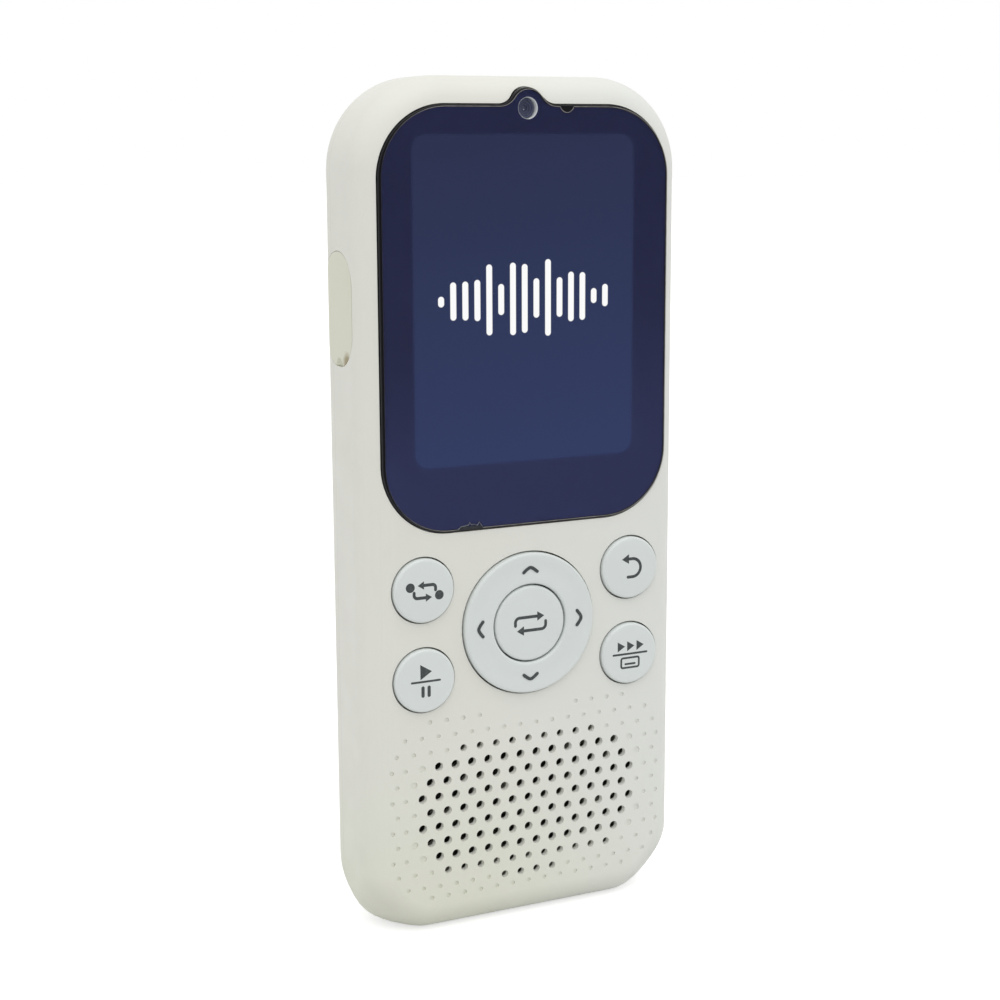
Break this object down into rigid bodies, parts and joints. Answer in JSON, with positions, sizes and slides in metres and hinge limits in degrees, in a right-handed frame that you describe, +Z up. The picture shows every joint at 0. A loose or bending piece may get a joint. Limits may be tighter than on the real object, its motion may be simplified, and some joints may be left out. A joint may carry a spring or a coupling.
{
  "type": "language repeater",
  "caption": "Handheld language repeater: rounded slab housing with a screen and camera, round keypad with a rocking ring, staggered speaker grille and a hinged soft port cover.",
  "frame": {"origin": "centre of the footprint at the lower end that the body stands on", "axes": "+X to the right seen from the front, +Y from the front face into the body, +Z up towards the camera"},
  "size_m": [0.0536, 0.0172, 0.1301],
  "materials": {
    "housing": "fine matte moulded ivory plastic",
    "keys": "satin cool white plastic",
    "port_cover": "soft cream silicone",
    "glass": "black printed cover glass",
    "film": "clear protective film",
    "display": "lit display panel",
    "steel": "pressed sheet steel",
    "board": "solder resist",
    "black_plastic": "moulded black plastic",
    "foam": "closed cell foam",
    "gasket": "pale silicone",
    "lens": "coated lens",
    "ribbon": "amber polyimide",
    "connector": "moulded connector",
    "mesh": "woven dust mesh",
    "cell": "foil pouch"
  },
  "bodies": {
    "housing": {"front_housing": "housing", "rear_housing": "housing", "housing_screws": "steel", "screen_glass": "glass", "screen_film": "film", "screen_adhesive": "foam", "lcd_panel": "display", "lcd_backlight": "steel", "lcd_foam": "foam", "lcd_flex": "ribbon", "flex_connector": "connector", "camera_module": "black_plastic", "camera_lens": "lens", "camera_gasket": "gasket", "main_board": "board", "key_switches": "steel", "shield_can": "steel", "memory_chips": "black_plastic", "speaker_mesh": "mesh", "speaker_gasket": "foam", "speaker_frame": "black_plastic", "speaker_cone": "black_plastic", "speaker_magnet": "steel", "battery_cell": "cell", "battery_pad": "foam", "usb_port": "steel", "usb_tongue": "black_plastic", "card_slot": "steel", "headphone_jack": "black_plastic", "microphone": "steel", "power_switch": "steel"},
    "ab_button": {"ab_key": "keys"},
    "play_button": {"play_key": "keys"},
    "return_button": {"return_key": "keys"},
    "subtitle_button": {"subtitle_key": "keys"},
    "centre_button": {"centre_key": "keys"},
    "ring_pad": {"dpad_pad": "foam"},
    "direction_ring": {"dpad_ring": "keys"},
    "power_button": {"power_key": "housing"},
    "side_cover": {"port_cover": "port_cover"}
  },
  "joints": [
    {"name": "ab_press", "type": "slide", "parent": "housing", "child": "ab_button", "axis": [0, 1, 0], "range_m": [0, 0.00035], "stiffness_N_per_m": 600},
    {"name": "play_press", "type": "slide", "parent": "housing", "child": "play_button", "axis": [0, 1, 0], "range_m": [0, 0.00035], "stiffness_N_per_m": 600},
    {"name": "return_press", "type": "slide", "parent": "housing", "child": "return_button", "axis": [0, 1, 0], "range_m": [0, 0.00035], "stiffness_N_per_m": 600},
    {"name": "subtitle_press", "type": "slide", "parent": "housing", "child": "subtitle_button", "axis": [0, 1, 0], "range_m": [0, 0.00035], "stiffness_N_per_m": 600},
    {"name": "centre_press", "type": "slide", "parent": "housing", "child": "centre_button", "axis": [0, 1, 0], "range_m": [0, 0.00035], "stiffness_N_per_m": 600},
    {"name": "ring_rock_sideways", "type": "hinge", "parent": "housing", "child": "ring_pad", "pos_m": [0, -0.0048, 0.0478], "axis": [0, 0, 1], "range_deg": [-1.5, 1.5], "stiffness_Nm_per_rad": 0.05},
    {"name": "ring_rock_upright", "type": "hinge", "parent": "ring_pad", "child": "direction_ring", "pos_m": [0, -0.0048, 0.0478], "axis": [1, 0, 0], "range_deg": [-1.5, 1.5], "stiffness_Nm_per_rad": 0.05},
    {"name": "power_press", "type": "slide", "parent": "housing", "child": "power_button", "axis": [-1, 0, 0], "range_m": [0, 0.00035], "stiffness_N_per_m": 600},
    {"name": "cover_open", "type": "hinge", "parent": "housing", "child": "side_cover", "pos_m": [-0.02675, 0.0011, 0.10395], "axis": [0, 1, 0], "range_deg": [0, 110], "stiffness_Nm_per_rad": 0.0005}
  ]
}
